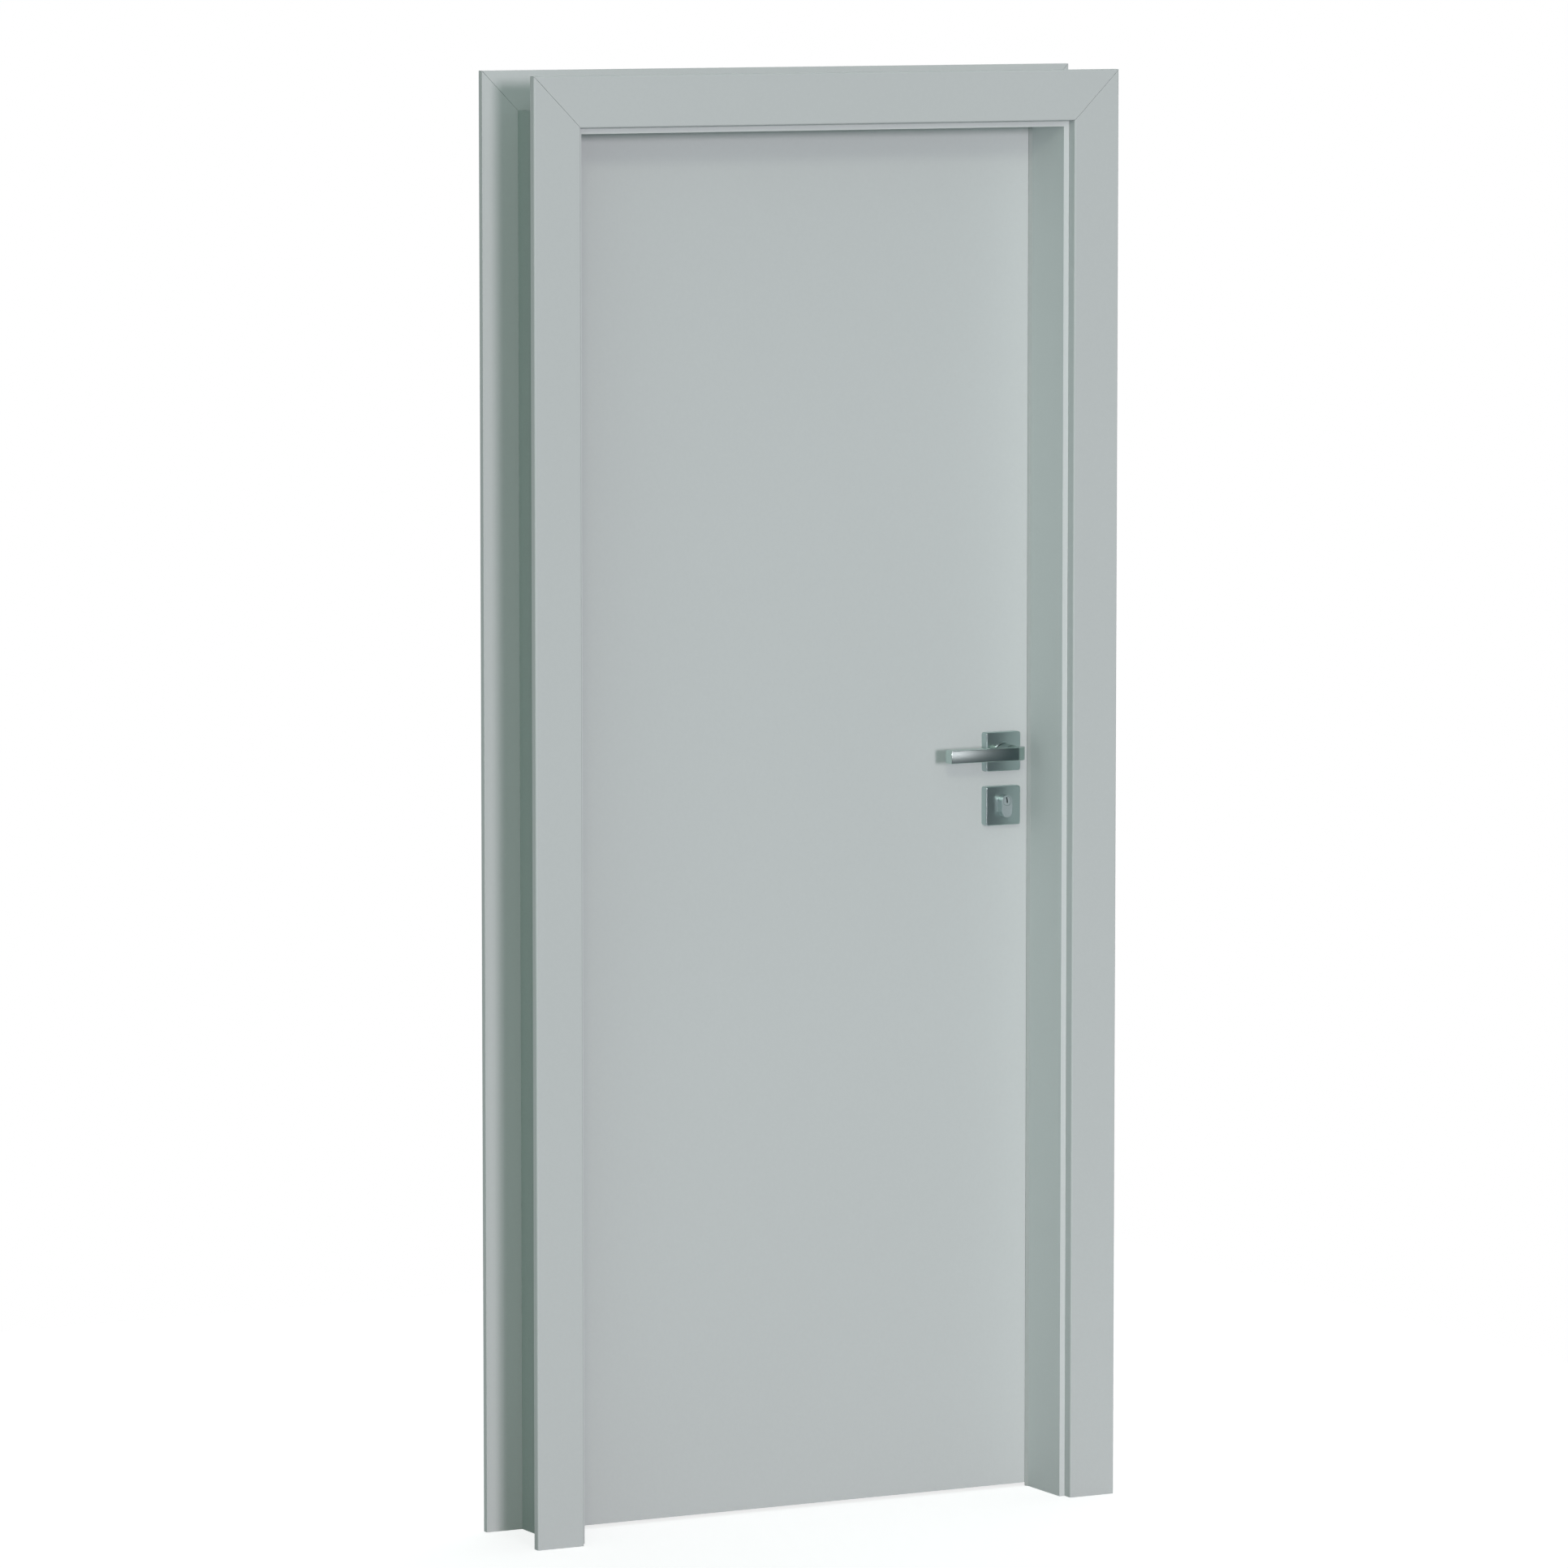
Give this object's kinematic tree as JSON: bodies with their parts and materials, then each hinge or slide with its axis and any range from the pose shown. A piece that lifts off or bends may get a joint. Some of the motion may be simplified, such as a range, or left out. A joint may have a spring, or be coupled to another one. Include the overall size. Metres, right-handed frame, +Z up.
{
  "type": "prehung interior door",
  "caption": "Flush interior door leaf hung in a rebated lining with mitred casings on both wall faces, a lever on a square rose and a key rose with a cylinder.",
  "frame": {"origin": "on the hinge jamb's outer face, at floor level, halfway through the wall", "axes": "+X across the opening from the hinge side to the latch side, +Y through the wall to the side the leaf opens to, +Z up"},
  "size_m": [0.957, 0.2145, 2.1047],
  "materials": {
    "casing_paint": "smooth light grey painted board",
    "lining_paint": "smooth light grey painted board",
    "leaf_paint": "smooth light grey painted skin",
    "leaf_edge": "light grey painted edge",
    "seal_rubber": "soft grey seal",
    "hinge_steel": "satin",
    "bolt_steel": "satin",
    "rose_satin": "satin",
    "lever_satin": "satin",
    "cylinder_satin": "satin"
  },
  "bodies": {
    "frame": {"hinge_jamb": "lining_paint", "hinge_jamb_stop": "lining_paint", "latch_jamb": "lining_paint", "latch_jamb_stop": "lining_paint", "head_jamb": "lining_paint", "head_jamb_stop": "lining_paint", "front_casing_left": "casing_paint", "front_casing_right": "casing_paint", "front_casing_head": "casing_paint", "back_casing_left": "casing_paint", "back_casing_right": "casing_paint", "back_casing_head": "casing_paint", "seal_left": "seal_rubber", "seal_right": "seal_rubber", "seal_head": "seal_rubber", "hinge_frame_half_top": "hinge_steel", "hinge_frame_half_middle": "hinge_steel", "hinge_frame_half_bottom": "hinge_steel", "hinge_pin_top": "hinge_steel", "hinge_pin_middle": "hinge_steel", "hinge_pin_bottom": "hinge_steel", "strike_plate": "hinge_steel"},
    "leaf": {"leaf_front_skin": "leaf_paint", "leaf_back_skin": "leaf_paint", "leaf_hinge_stile": "leaf_edge", "leaf_latch_stile": "leaf_edge", "leaf_top_rail": "leaf_edge", "leaf_bottom_rail": "leaf_edge", "lock_faceplate": "hinge_steel", "latch_bolt": "bolt_steel", "dead_bolt": "bolt_steel", "hinge_leaf_half_top": "hinge_steel", "hinge_leaf_half_middle": "hinge_steel", "hinge_leaf_half_bottom": "hinge_steel", "front_rose": "rose_satin", "back_rose": "rose_satin", "front_key_rose": "rose_satin", "back_key_rose": "rose_satin", "lock_cylinder": "cylinder_satin", "front_plug": "cylinder_satin", "back_plug": "cylinder_satin"},
    "lever": {"front_lever": "lever_satin", "back_lever": "lever_satin", "spindle": "bolt_steel"}
  },
  "joints": [
    {"name": "leaf_swing", "type": "hinge", "parent": "frame", "child": "leaf", "pos_m": [0.0185, 0.0785, 1.016], "axis": [0, 0, 1], "range_deg": [0, 110]},
    {"name": "lever_turn", "type": "hinge", "parent": "leaf", "child": "lever", "pos_m": [0.763, 0.0515, 1.1], "axis": [0, -1, 0], "range_deg": [0, 40], "stiffness_Nm_per_rad": 2, "springref_deg": -34.38}
  ]
}
